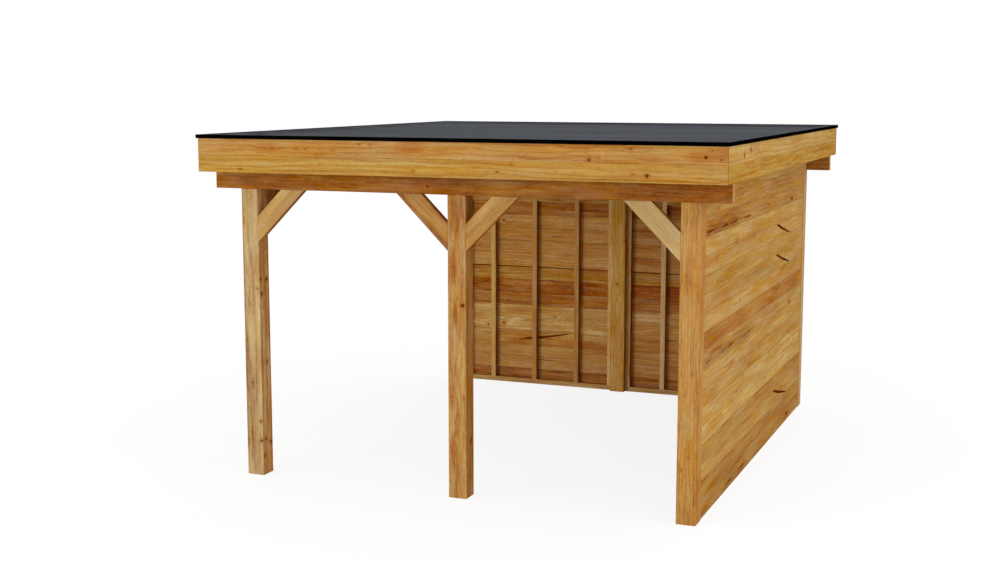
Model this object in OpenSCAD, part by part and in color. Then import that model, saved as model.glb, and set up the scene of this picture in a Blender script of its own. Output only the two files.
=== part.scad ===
// Freestanding veranda: a flat-roofed timber frame, open at the front and on the left,
// with boarded stud walls at the back and on the right.
// Origin: on the ground under the middle of the roof. +Z is up, the front faces -Y, and the
// closed side wall is at +X. Every size is in millimetres.

/* [Frame] */
// Width over the outer faces of the posts
frame_w = 3040; // [2400:20:4000]
// Depth over the outer faces of the posts
frame_d = 3460; // [2600:20:4400]
// Clear height under the beams
clear_h = 1900; // [1800:10:2500]
// Side of a square post
post_w = 120; // [110:5:150]
// Thickness of every beam
beam_t = 60; // [50:5:70]
// Height of every beam
beam_h = 115; // [100:5:170]
// How far the front and back beams stand proud of the posts
beam_proud = 15; // [10:1:25]
// How far the front and back beams run past the posts
beam_end = 178; // [120:2:186]

/* [Knee braces] */
// Height of a brace against its post, down to its lower tip
brace_leg = 345; // [300:5:450]
// Width of a brace board
brace_w = 120; // [90:5:140]
// Thickness of a brace board
brace_t = 45; // [35:1:50]

/* [Roof] */
// Overhang of the fascia past the posts on the left and right
eave_side = 190; // [188:2:260]
// Overhang of the fascia past the posts at the front and back
eave_front = 195; // [150:5:300]
// Number of joists
joist_count = 9; // [8:1:11]
// Width of a joist
joist_w = 45; // [38:1:60]
// Height of a joist
joist_h = 195; // [145:5:220]
// Thickness of the roof deck
deck_t = 18; // [15:1:28]
// Thickness of a fascia board
fascia_t = 18; // [16:1:24]
// Width of the batten under the raised rim
kerb_w = 45; // [30:1:60]
// Height of the batten under the raised rim
kerb_h = 16; // [8:1:30]
// Thickness of the rubber roof sheet
sheet_t = 3; // [2:0.5:4]
// Thickness of the edge trim's top plate and lip
trim_t = 4; // [3:0.5:6]
// How far the edge trim's lip stands off the fascia, so that water drips free of it
trim_drip = 6; // [0:1:15]
// Height of the edge trim
trim_h = 24; // [22:1:50]
// Width of the edge trim's top plate
trim_w = 40; // [30:1:60]

/* [Walls] */
// Width of a stud and height of a rail
stud_w = 40; // [35:1:60]
// Depth of a stud and of a rail
stud_d = 45; // [40:1:60]
// Distance between stud centres
stud_pitch = 380; // [300:10:420]
// Thickness of the cladding boards
clad_t = 28; // [18:1:32]
// How far the cladding sits behind the posts' outer faces
clad_set = 4; // [2:1:10]
// Gap between the cladding and the ground
clad_gap = 0; // [0:1:40]
// Underside of the upper rail, below the beams
upper_rail_drop = 310; // [200:10:500]

/* [Hidden] */
// Plan positions of the post centres
post_x = frame_w/2 - post_w/2;
post_y = frame_d/2 - post_w/2;

// Levels, from the ground up
beam_z1 = clear_h + beam_h;
deck_z0 = beam_z1 + joist_h;
deck_z1 = deck_z0 + deck_t;
kerb_z1 = deck_z1 + kerb_h;
rim_z1 = kerb_z1 + sheet_t;
roof_z1 = rim_z1 + trim_t;

// Plan sizes of the roof, from the outside in
eave_w = frame_w + 2*eave_side;
eave_d = frame_d + 2*eave_front;
deck_w = eave_w - 2*fascia_t;
deck_d = eave_d - 2*fascia_t;
joist_step = (deck_w - joist_w)/(joist_count - 1);

// The seat cut from each post head for the front or back beam
seat = beam_t - beam_proud;
// Half the depth between the tongues that the seats leave
tongue_y = post_y + post_w/2 - seat;

// A brace board is cut at 45 degrees, so each cut is root two times its width
brace_cut = brace_w*sqrt(2);

// Fascia: two boards of equal height, from the beams' tops to the deck's top
board_h = (deck_z1 - beam_z1)/2;

// Walls: outer plane of the cladding and of the stud frames, measured inwards
clad_in = clad_set + clad_t;
frame_in = clad_in + stud_d;
top_rail_z0 = clear_h - stud_w;
upper_rail_z0 = clear_h - upper_rail_drop;
// Clear width of a back bay and clear depth of the side bay
back_bay = post_x - post_w;
side_bay = 2*post_y - post_w;
side_studs = round(side_bay/stud_pitch) + 1;
side_step = (side_bay - stud_w)/(side_studs - 1);

// Colours
wood = "#b8772f";
wood_light = "#c98b45";
wood_dark = "#8a5425";
wood_fascia = "#c99648";
rubber = "#3c4147";
trim_black = "#15171a";

// A box from corner to corner
module box(from, to) {
    translate(from) cube(to - from);
}

// ---- Timber frame ----

// A post with its head halved: the beam sits in the seat on the outer face,
// and the tongue behind it rises to the beam's top. side is -1 at the front, 1 at the back.
module post(x, side) {
    half = post_w/2;
    translate([x, side*post_y, 0])
    mirror([0, side > 0 ? 1 : 0, 0])
    difference() {
        box([-half, -half, 0], [half, half, beam_z1]);
        translate([-post_w, -post_w, clear_h]) cube([2*post_w, post_w - half + seat, 2*beam_h]);
    }
}

// The front or back beam, let into the post heads and run on past them
module long_beam(side) {
    reach = frame_w/2 + beam_end;
    outer = frame_d/2 + beam_proud;
    mirror([0, side > 0 ? 1 : 0, 0])
    box([-reach, -outer, clear_h], [reach, beam_t - outer, beam_z1]);
}

// A side beam between the tongues of two post heads, its outer face at x = outer
module side_beam(outer, side) {
    y = post_y - post_w/2;
    mirror([side > 0 ? 1 : 0, 0, 0])
    box([-outer, -y, clear_h], [beam_t - outer, y, beam_z1]);
}

// A knee brace in its own corner: the post's face is x = 0, the beam's underside is y = 0,
// and the board's thickness runs along +Z
module knee_brace() {
    leg = brace_leg;
    inner = brace_leg - brace_cut;
    linear_extrude(brace_t) polygon([[0, -leg], [leg, 0], [inner, 0], [0, -inner]]);
}

// A front brace beside the post at x, its face flush with the post's. dir is the way it rises.
module front_brace(x, dir) {
    translate([x + dir*post_w/2, -frame_d/2 + brace_t, clear_h])
    rotate([90, 0, 0])
    mirror([dir < 0 ? 1 : 0, 0, 0])
    knee_brace();
}

// A brace of the open left side, flush with the posts' outer face. side is -1 at the front.
module side_brace(side) {
    mirror([0, side > 0 ? 1 : 0, 0])
    translate([-frame_w/2, post_w/2 - post_y, clear_h])
    rotate([90, 0, 90])
    knee_brace();
}

// ---- Roof ----

module joists() {
    color(wood_light)
    for (i = [0 : joist_count - 1])
        translate([-deck_w/2 + i*joist_step, -deck_d/2, beam_z1]) cube([joist_w, deck_d, joist_h]);
}

module deck() {
    color(wood_light)
    box([-deck_w/2, -deck_d/2, deck_z0], [deck_w/2, deck_d/2, deck_z1]);
}

// Two like battens of the rim on opposite edges, standing on the deck and the fascia
module kerb_front_back() {
    color(wood_dark)
    for (side = [0, 1])
        mirror([0, side, 0])
        box([-eave_w/2, -eave_d/2, deck_z1], [eave_w/2, kerb_w - eave_d/2, kerb_z1]);
}

module kerb_sides() {
    y = eave_d/2 - kerb_w;
    color(wood_dark)
    for (side = [0, 1])
        mirror([side, 0, 0])
        box([-eave_w/2, -y, deck_z1], [kerb_w - eave_w/2, y, kerb_z1]);
}

// A slab of the roof's outline drawn in by inset, from z0 to z1
module roof_slab(inset, z0, z1) {
    x = eave_w/2 - inset;
    y = eave_d/2 - inset;
    box([-x, -y, z0], [x, y, z1]);
}

// The rubber sheet lies on the deck, turns up the inner face of the rim and covers its top
module membrane() {
    color(rubber)
    difference() {
        roof_slab(0, deck_z1, rim_z1);
        difference() {
            roof_slab(-1, deck_z1 - 1, kerb_z1);
            roof_slab(kerb_w, deck_z1 - 2, kerb_z1 + 1);
        }
        roof_slab(kerb_w + sheet_t, deck_z1 + sheet_t, rim_z1 + 1);
    }
}

// Edge trim for one side of a roof whose edge is long and lies at distance out from the
// middle: a top plate over the rim and a lip that hangs clear of the fascia, mitred at both ends
module edge_trim(long, out) {
    reach = long/2 + trim_drip + trim_t;
    far = out + trim_drip + trim_t;
    near = far - trim_w;
    lip = roof_z1 - trim_h;
    color(trim_black)
    intersection() {
        difference() {
            translate([-reach, -far, lip]) cube([2*reach, trim_w, trim_h]);
            translate([-2*reach, trim_t - far, lip - 1]) cube([4*reach, 2*trim_w, trim_h + 1 - trim_t]);
        }
        translate([0, 0, lip - 1]) linear_extrude(trim_h + 2)
        polygon([[-reach, -far], [reach, -far], [reach - trim_w, -near], [trim_w - reach, -near]]);
    }
}

// The fascia's front and back boards cover the ends of the side boards.
// course is 0 for the lower board and 1 for the upper.
module fascia_long(side, course) {
    z = beam_z1 + course*board_h;
    color(wood_fascia)
    mirror([0, side > 0 ? 1 : 0, 0])
    box([-eave_w/2, -eave_d/2, z], [eave_w/2, fascia_t - eave_d/2, z + board_h]);
}

module fascia_side(side, course) {
    z = beam_z1 + course*board_h;
    color(wood_fascia)
    mirror([side > 0 ? 1 : 0, 0, 0])
    box([-eave_w/2, -deck_d/2, z], [fascia_t - eave_w/2, deck_d/2, z + board_h]);
}

// ---- Walls ----
// A wall bay is drawn along +X from x = 0, with its outer side at -Y and the posts'
// outer face at y = 0. starts lists where its studs begin.

module bay_studs(starts) {
    color(wood_light)
    for (s = starts)
        box([s, clad_in, stud_w], [s + stud_w, frame_in, top_rail_z0]);
}

// Bottom rail, top rail, and the short upper rails between each two studs
module bay_rails(long, starts) {
    color(wood_light) {
        box([0, clad_in, 0], [long, frame_in, stud_w]);
        box([0, clad_in, top_rail_z0], [long, frame_in, clear_h]);
        for (i = [0 : len(starts) - 2])
            box([starts[i] + stud_w, clad_in, upper_rail_z0],
                [starts[i + 1], frame_in, upper_rail_z0 + stud_w]);
    }
}

module bay_cladding(long, top) {
    color(wood)
    box([0, clad_set, clad_gap], [long, clad_in, top]);
}

// Studs are set out to the nearest half millimetre
function set_out(x) = round(2*x)/2;

// Studs of a back bay: one against each post, the others stepped from the middle post
function back_starts() = concat(
    [0],
    [for (i = [floor((back_bay + post_w/2 - 2*stud_w)/stud_pitch) : -1 : 1])
        set_out(back_bay + post_w/2 - i*stud_pitch - stud_w/2)],
    [back_bay - stud_w]);

function side_starts() = [for (i = [0 : side_studs - 1]) set_out(i*side_step)];

// Places a bay in the back wall. side is -1 for the left bay and 1 for the right.
module at_back(side) {
    mirror([side > 0 ? 1 : 0, 0, 0])
    translate([post_w/2 - post_x, frame_d/2, 0])
    mirror([0, 1, 0])
    children();
}

// Places the bay of the side wall, between the right-hand posts
module at_side() {
    translate([frame_w/2, post_w/2 - post_y, 0])
    rotate([0, 0, 90])
    children();
}

// ---- Sub-parts ----

color(wood) post(-post_x, -1);  // post_front_left
color(wood) post(0, -1);  // post_front_mid
color(wood) post(post_x, -1);  // post_front_right
color(wood) post(-post_x, 1);  // post_back_left
color(wood) post(0, 1);  // post_back_mid
color(wood) post(post_x, 1);  // post_back_right

color(wood_dark) long_beam(-1);  // beam_front
color(wood_dark) long_beam(1);  // beam_back
color(wood_dark) side_beam(frame_w/2, -1);  // beam_left
color(wood_dark) side_beam(frame_w/2 - clad_in, 1);  // beam_right

color(wood_light) front_brace(-post_x, 1);  // brace_front_left
color(wood_light) front_brace(0, -1);  // brace_mid_left
color(wood_light) front_brace(0, 1);  // brace_mid_right
color(wood_light) front_brace(post_x, -1);  // brace_front_right
color(wood_light) side_brace(-1);  // brace_side_front
color(wood_light) side_brace(1);  // brace_side_back

joists();
deck();
membrane();
kerb_front_back();
kerb_sides();

edge_trim(eave_w, eave_d/2);  // trim_front
mirror([0, 1, 0]) edge_trim(eave_w, eave_d/2);  // trim_back
rotate([0, 0, -90]) edge_trim(eave_d, eave_w/2);  // trim_left
rotate([0, 0, 90]) edge_trim(eave_d, eave_w/2);  // trim_right

fascia_long(-1, 0);  // fascia_front_lower
fascia_long(-1, 1);  // fascia_front_upper
fascia_long(1, 0);  // fascia_back_lower
fascia_long(1, 1);  // fascia_back_upper
fascia_side(-1, 0);  // fascia_left_lower
fascia_side(-1, 1);  // fascia_left_upper
fascia_side(1, 0);  // fascia_right_lower
fascia_side(1, 1);  // fascia_right_upper

at_back(-1) bay_studs(back_starts());  // studs_back_left
at_back(-1) bay_rails(back_bay, back_starts());  // rails_back_left
at_back(-1) bay_cladding(back_bay, clear_h);  // cladding_back_left
at_back(1) bay_studs(back_starts());  // studs_back_right
at_back(1) bay_rails(back_bay, back_starts());  // rails_back_right
at_back(1) bay_cladding(back_bay, clear_h);  // cladding_back_right
at_side() bay_studs(side_starts());  // studs_side
at_side() bay_rails(side_bay, side_starts());  // rails_side
at_side() bay_cladding(side_bay, beam_z1);  // cladding_side
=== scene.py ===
# %% [markdown]
# A freestanding garden veranda
# -----------------------------
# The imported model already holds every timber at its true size. This notebook gives it its looks:
# eased and tongued timber of oiled Douglas fir, a black rubber roof sheet and a coated edge trim.
# Everything is in metres, with the ground at z = 0, the open front towards -Y and the closed side
# wall towards +X.

import math
import random

import bmesh
import bpy
from mathutils import Matrix, Vector


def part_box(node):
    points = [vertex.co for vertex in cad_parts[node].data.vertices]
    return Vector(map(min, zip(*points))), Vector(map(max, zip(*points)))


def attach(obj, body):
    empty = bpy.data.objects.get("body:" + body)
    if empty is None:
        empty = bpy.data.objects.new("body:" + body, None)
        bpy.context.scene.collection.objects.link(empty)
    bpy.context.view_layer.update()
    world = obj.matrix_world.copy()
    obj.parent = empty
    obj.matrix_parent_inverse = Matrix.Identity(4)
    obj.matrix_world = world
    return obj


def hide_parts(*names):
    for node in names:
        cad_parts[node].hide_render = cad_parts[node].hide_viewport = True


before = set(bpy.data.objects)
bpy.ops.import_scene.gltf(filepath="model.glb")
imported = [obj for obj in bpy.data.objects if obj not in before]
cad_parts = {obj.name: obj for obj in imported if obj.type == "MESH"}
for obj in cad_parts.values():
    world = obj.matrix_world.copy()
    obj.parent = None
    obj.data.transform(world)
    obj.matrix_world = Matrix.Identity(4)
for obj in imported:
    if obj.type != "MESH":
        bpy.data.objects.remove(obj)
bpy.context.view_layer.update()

# %% [markdown]
# Camera
# ------
# The veranda is seen from the front right and from a little above the roof, through a lens of
# normal length, as a catalogue shows a garden building. A lower camera would hide the roof, and a
# wider lens would make the front posts lean, so the camera stands some eight metres off.

# %% Camera
CAMERA_PLACE = (3.422, -9.499, 2.548)
CAMERA_DOWN, CAMERA_LEFT = 7.906, 21.98
CAMERA_LENS_MM, SENSOR_MM = 50.37, 36

bpy.ops.object.select_all(action="DESELECT")
bpy.ops.object.camera_add(
    location=CAMERA_PLACE,
    rotation=(math.radians(90 - CAMERA_DOWN), 0, math.radians(CAMERA_LEFT)),
)
camera = bpy.context.object
camera.data.sensor_width = SENSOR_MM
camera.data.lens = CAMERA_LENS_MM
camera.data.clip_end = 200
bpy.context.scene.camera = camera
print("camera at", CAMERA_PLACE, "with", CAMERA_LENS_MM, "mm")

# %% [markdown]
# Colours and nodes
# -----------------
# Colours are written as the hex values that a screen shows, and one function turns them into the
# linear values that the renderer works in. One more function adds a node to a material, with its
# settings and its links. Nodes could be placed by hand in the shader editor, but written down like
# this a material reads from top to bottom, and each value can have its reason beside it.

# %% Colour and node helpers
def linear(hex_colour):
    """The linear RGBA of an sRGB hex colour."""
    parts = [int(hex_colour[i:i + 2], 16) / 255 for i in (1, 3, 5)]
    return [p / 12.92 if p <= 0.04045 else ((p + 0.055) / 1.055) ** 2.4 for p in parts] + [1]


def add_node(tree, kind, inputs=(), stops=(), **settings):
    """Adds a node with its settings. inputs fills its sockets, in order or by name, with a value,
    with a given output, or with a whole node, whose first output in use is then taken. stops are
    the places and hex colours of a colour ramp."""
    node = tree.nodes.new("ShaderNode" + kind)
    for name, value in settings.items():
        setattr(node, name, value)
    while stops and len(node.color_ramp.elements) < len(stops):
        node.color_ramp.elements.new(0.5)
    for number, (place, colour) in enumerate(stops):
        node.color_ramp.elements[number].position = place
        node.color_ramp.elements[number].color = linear(colour)
    for socket, value in inputs.items() if isinstance(inputs, dict) else enumerate(inputs):
        if isinstance(value, bpy.types.Node):
            value = next(output for output in value.outputs if output.enabled)
        if isinstance(value, bpy.types.NodeSocket):
            tree.links.new(value, node.inputs[socket])
        else:
            node.inputs[socket].default_value = value
    return node


def new_material(name):
    """An empty material, with its node tree and its surface output."""
    material = bpy.data.materials.new(name)
    material.use_nodes = True
    tree = material.node_tree
    tree.nodes.clear()
    return material, tree, add_node(tree, "OutputMaterial")


print("linear mid grey is", round(linear("#808080")[0], 3))

# %% [markdown]
# Stage and light
# ---------------
# The floor is plain white and so is the sky around it, as in a studio with a sweep. The sky gives
# most of the light. A large soft lamp at the front left looks in under the roof, so that each stud
# of the back wall throws a soft shadow to its right, and a second one keeps the side wall from
# falling behind. Together they add up to about one, so that a colour shows as it is written.
# The camera sees the sky as plain white, and the floor mostly so, with a part of its own shading
# left in, so that the soft shadow of the roof stays on it.

# %% Stage and light
FLOOR_SIZE = 120
FLOOR_WHITE_SHARE, FLOOR_WHITE = 0.8, 1.07
SKY_LIGHT = 0.8
# Each lamp's place, its width and height in metres, and its power in watts
LAMPS = {
    "front_lamp": (Vector((-12.6, -18.9, 3.9)), 9.0, 7.5, 1800),
    "side_lamp": (Vector((11.0, -3.5, 4.0)), 6.0, 4.0, 260),
}
LAMP_AIM = Vector((0, 0, 1))

bpy.ops.object.select_all(action="DESELECT")
bpy.ops.mesh.primitive_plane_add(size=FLOOR_SIZE, location=(0, 0, 0))
floor = bpy.context.object
floor.name = "floor"

floor_material, tree, output = new_material("studio_floor_white")
ray = add_node(tree, "LightPath").outputs
seen = add_node(tree, "Math", [ray["Is Camera Ray"], ray["Is Glossy Ray"]], operation="MAXIMUM")
share = add_node(tree, "Math", [seen, FLOOR_WHITE_SHARE], operation="MULTIPLY")
matt = add_node(tree, "BsdfDiffuse", {"Color": linear("#f2f2f2")})
white = add_node(tree, "Emission", {"Color": linear("#ffffff"), "Strength": FLOOR_WHITE})
mixed = add_node(tree, "MixShader", [share, matt, white])
tree.links.new(mixed.outputs[0], output.inputs["Surface"])
floor.data.materials.append(floor_material)

world = bpy.data.worlds.new("studio_sky")
bpy.context.scene.world = world
world.use_nodes = True
tree = world.node_tree
background = tree.nodes["Background"]
background.inputs["Color"].default_value = linear("#ffffff")
ray = add_node(tree, "LightPath").outputs
seen = add_node(tree, "Math", [ray["Is Camera Ray"], ray["Is Glossy Ray"]], operation="MAXIMUM")
seen = add_node(tree, "Math", [seen, ray["Is Transmission Ray"]], operation="MAXIMUM")
strength = add_node(tree, "MapRange", {"Value": seen, "To Min": SKY_LIGHT, "To Max": 1.0})
tree.links.new(strength.outputs["Result"], background.inputs["Strength"])

for name, (place, width, height, watts) in LAMPS.items():
    bpy.ops.object.light_add(type="AREA", location=place)
    lamp = bpy.context.object
    lamp.name = name
    lamp.data.shape = "RECTANGLE"
    lamp.data.size, lamp.data.size_y = width, height
    lamp.data.energy = watts
    lamp.rotation_euler = (LAMP_AIM - place).to_track_quat("-Z", "Y").to_euler()
    lamp.visible_camera = False
bpy.context.scene.view_settings.view_transform = "Standard"
print("floor", FLOOR_SIZE, "m, lamps", ", ".join(LAMPS))

# %% [markdown]
# Oiled Douglas fir
# -----------------
# Every timber is planed or sawn Douglas fir with a clear oil. To the eye that is a scale of warm
# tones, from pale straw through honey and amber to a red brown, on which everything in the wood
# moves: whole boards differ, long stains run through a board, the growth rings draw long lines,
# fine fibres streak it, and round each knot the wood darkens and the lines bend. So one colour
# ramp holds the scale, and each of those effects only pushes the tone along it.
# The wood is solid in three dimensions, as if cut from a log: each board carries the place of its
# log's heart, and the growth rings are cylinders round it. A board cut beside the heart shows
# straight lines, and one cut far from it shows long arches, without either being drawn.

# %% Wood tones
WOOD_TONES = ((0.0, "#d6b981"), (0.1, "#c9a35c"), (0.25, "#be914a"), (0.45, "#b07d34"),
              (0.62, "#9d6424"), (0.8, "#7e4615"), (1.0, "#4d260b"))

# Boards by name: how dark they are, how far they lean to orange (-) or to green gold (+), and how
# vivid their colour is beside the scale's own
CREAM, PALE, STRAW = (0.32, 1.7, 0.8), (0.0, -1.0, 1.0), (0.22, 0.4, 0.98)
FLAX, ROSE = (0.29, 0.9, 0.92), (0.38, -0.7, 0.96)
SAND, TAN, HONEY = (0.34, 0.8, 0.87), (0.4, 0.6, 0.92), (0.34, 0.2, 0.98)
GOLD, AMBER, RUSSET = (0.46, 0.8, 0.98), (0.48, 0.2, 0.97), (0.52, -0.6, 1.0)
UMBER, DEEP = (0.6, 0.0, 0.97), (0.72, -0.2, 0.98)
MALT, BARK = (0.41, 0.4, 0.95), (0.61, 0.2, 0.92)


def varied(woods, lean=0.0, vivid=0.0):
    """The same woods, each changed a little in its lean and in how vivid it is."""
    return [(tone, old_lean + lean, old_vivid + vivid) for tone, old_lean, old_vivid in woods]


# Which way the grain runs, as the turn that brings it onto the X axis
QUARTER, EIGHTH = math.pi / 2, math.pi / 4
GRAIN = {
    "x": (0, 0, 0),
    "y": (0, 0, -QUARTER),
    "z": (0, QUARTER, 0),
    "rising_x": (0, EIGHTH, 0),
    "falling_x": (0, -EIGHTH, 0),
    "rising_y": (-EIGHTH, 0, -QUARTER),
    "falling_y": (EIGHTH, 0, -QUARTER),
}
print("wood tones from", WOOD_TONES[0][1], "to", WOOD_TONES[-1][1])

# %% [markdown]
# Patterns in the log
# -------------------
# A board could wear a picture of wood, but a picture repeats, smears round the corners and has no
# end grain. So every pattern is worked out in space, and a board shows whatever its faces cut.
# Three patterns do nearly all of it: noise drawn out along the grain, round marks scattered by
# chance, and round marks at known places.

# %% Patterns
SMOOTH = {"interpolation_type": "SMOOTHSTEP"}


def streaks(tree, place, along_mm, across_mm, detail=2.0):
    """Noise drawn out along the grain: along_mm and across_mm are the sizes of its patches."""
    scale = (1000 / along_mm, 1000 / across_mm, 1000 / across_mm)
    scaled = add_node(tree, "VectorMath", [place, scale], operation="MULTIPLY")
    return add_node(tree, "TexNoise", {"Vector": scaled, "Scale": 1.0, "Detail": detail,
                                       "Roughness": 0.6})


def scattered(tree, place, cell, share, largest):
    """The distance to the edge of the nearest of many scattered round marks. Each cell of the log
    holds one point, and a share of the cells have grown a mark there, up to the largest radius."""
    in_cells = add_node(tree, "VectorMath", [place, cell], operation="DIVIDE")
    points = add_node(tree, "TexVoronoi", {"Vector": in_cells, "Scale": 1.0}).outputs
    away = add_node(tree, "VectorMath", [in_cells, points["Position"]], operation="SUBTRACT")
    away = add_node(tree, "VectorMath", [away, cell], operation="MULTIPLY")
    distance = add_node(tree, "VectorMath", [away], operation="LENGTH")
    chance = add_node(tree, "SeparateColor", [points["Color"]]).outputs["Red"]
    radius = add_node(tree, "MapRange", [chance, 1 - 2 * share, 1.0, -largest, largest], **SMOOTH)
    return add_node(tree, "Math", [distance, radius], operation="SUBTRACT")


def nearest(tree, edge, spot, marks, stretch=(1, 1, 1)):
    """The smaller of edge and the distance to the rim of any listed mark, (x, y, z, radius).
    stretch draws all of them out along an axis."""
    drawn = add_node(tree, "VectorMath", [spot, stretch], operation="DIVIDE")
    for *centre, radius in marks:
        centre = [value / factor for value, factor in zip(centre, stretch)]
        distance = add_node(tree, "VectorMath", [drawn, centre], operation="DISTANCE")
        rim = add_node(tree, "Math", [distance, radius], operation="SUBTRACT")
        edge = add_node(tree, "Math", [edge, rim], operation="MINIMUM")
    return edge


def moved(tree, total, effects):
    """The total, moved by each (effect, middle, share): the effect about its middle, times share."""
    for effect, middle, share in effects:
        part = add_node(tree, "Math", [effect, middle], operation="SUBTRACT")
        total = add_node(tree, "Math", [part, share, total], operation="MULTIPLY_ADD")
    return total


print("patterns ready")

# %% [markdown]
# Knots and specks
# ----------------
# A knot is a branch that the trunk grew over: a dark, hard core with orange wood round it. Small
# knots and dark specks come by chance in every log. The ones that give a board its character are
# listed beside the boards further on, and specks and orange blotches are ovals along the grain.

# %% Knots and specks
KNOT_CELL, KNOT_SHARE, KNOT_RADIUS = (0.22, 0.10, 0.10), 0.16, 0.009
SPECK_CELL, SPECK_SHARE, SPECK_RADIUS = (0.09, 0.04, 0.04), 0.2, 0.0035


def knots_and_specks(tree, place, spot, oval, knots, specks, blotches):
    """How far a point is in a knot's core, in the orange wood round it and in a speck, 0 to 1."""
    knot = nearest(tree, scattered(tree, place, KNOT_CELL, KNOT_SHARE, KNOT_RADIUS), spot, knots)
    core = add_node(tree, "MapRange", [knot, -0.007, 0.004, 0.95, 0.0], **SMOOTH)
    orange = nearest(tree, knot, spot, blotches, oval)
    halo = add_node(tree, "MapRange", [orange, -0.01, 0.026, 1.0, 0.0], **SMOOTH)
    small = scattered(tree, place, SPECK_CELL, SPECK_SHARE, SPECK_RADIUS)
    small = nearest(tree, small, spot, specks, oval)
    return core, halo, add_node(tree, "MapRange", [small, -0.003, 0.002, 1.0, 0.0], **SMOOTH)


print("knots up to", 2000 * KNOT_RADIUS, "mm, specks up to", 2000 * SPECK_RADIUS, "mm across")

# %% [markdown]
# Growth rings
# ------------
# Each year adds a ring: pale early wood that darkens slowly to a narrow band of late wood, and then
# a sharp step to the next year. The rings are cylinders round the heart, bent by uneven growth and
# by knots. A wave texture would draw them too, but it has no such slow rise and sharp fall.
# Real rings lie 3 to 6 mm apart. They are drawn four to nine times as wide, as finer ones wouldn't
# show from some metres off.

# %% Growth rings
UNEVEN_GROWTH, KNOT_BEND = 0.10, 0.014


def late_wood(tree, place, turned, halo, ring_mm):
    """How far a point is in the dark late wood of a ring, 0 to 1."""
    across = add_node(tree, "VectorMath", [turned, (0, 1, 1)], operation="MULTIPLY")
    radius = add_node(tree, "VectorMath", [across], operation="LENGTH")
    for bend, reach in ((streaks(tree, place, 1000, 130), UNEVEN_GROWTH), (halo, KNOT_BEND)):
        radius = add_node(tree, "Math", [bend, reach, radius], operation="MULTIPLY_ADD")
    years = add_node(tree, "Math", [radius, 1000 / ring_mm], operation="MULTIPLY")
    year = add_node(tree, "Math", [years], operation="FRACT")
    rise = add_node(tree, "MapRange", [year, 0.35, 0.85], **SMOOTH)
    fall = add_node(tree, "MapRange", [year, 0.86, 1.0, 1.0, 0.0], **SMOOTH)
    return add_node(tree, "Math", [rise, fall], operation="MULTIPLY")


print("rings bend by up to", 1000 * UNEVEN_GROWTH, "mm")

# %% [markdown]
# The wood material
# -----------------
# The material finds the point in its board's log, adds up every effect on the tone, and reads the
# colour off the scale. The fibres stand a little proud of a planed face. Their relief is drawn
# deeper than it is, so that it shows, and the oil has soaked in and gives no gloss of its own.

# %% Wood material
LOG_STEP = (37.0, 5.0, 3.0)
DRAWN_OUT = 12


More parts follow.
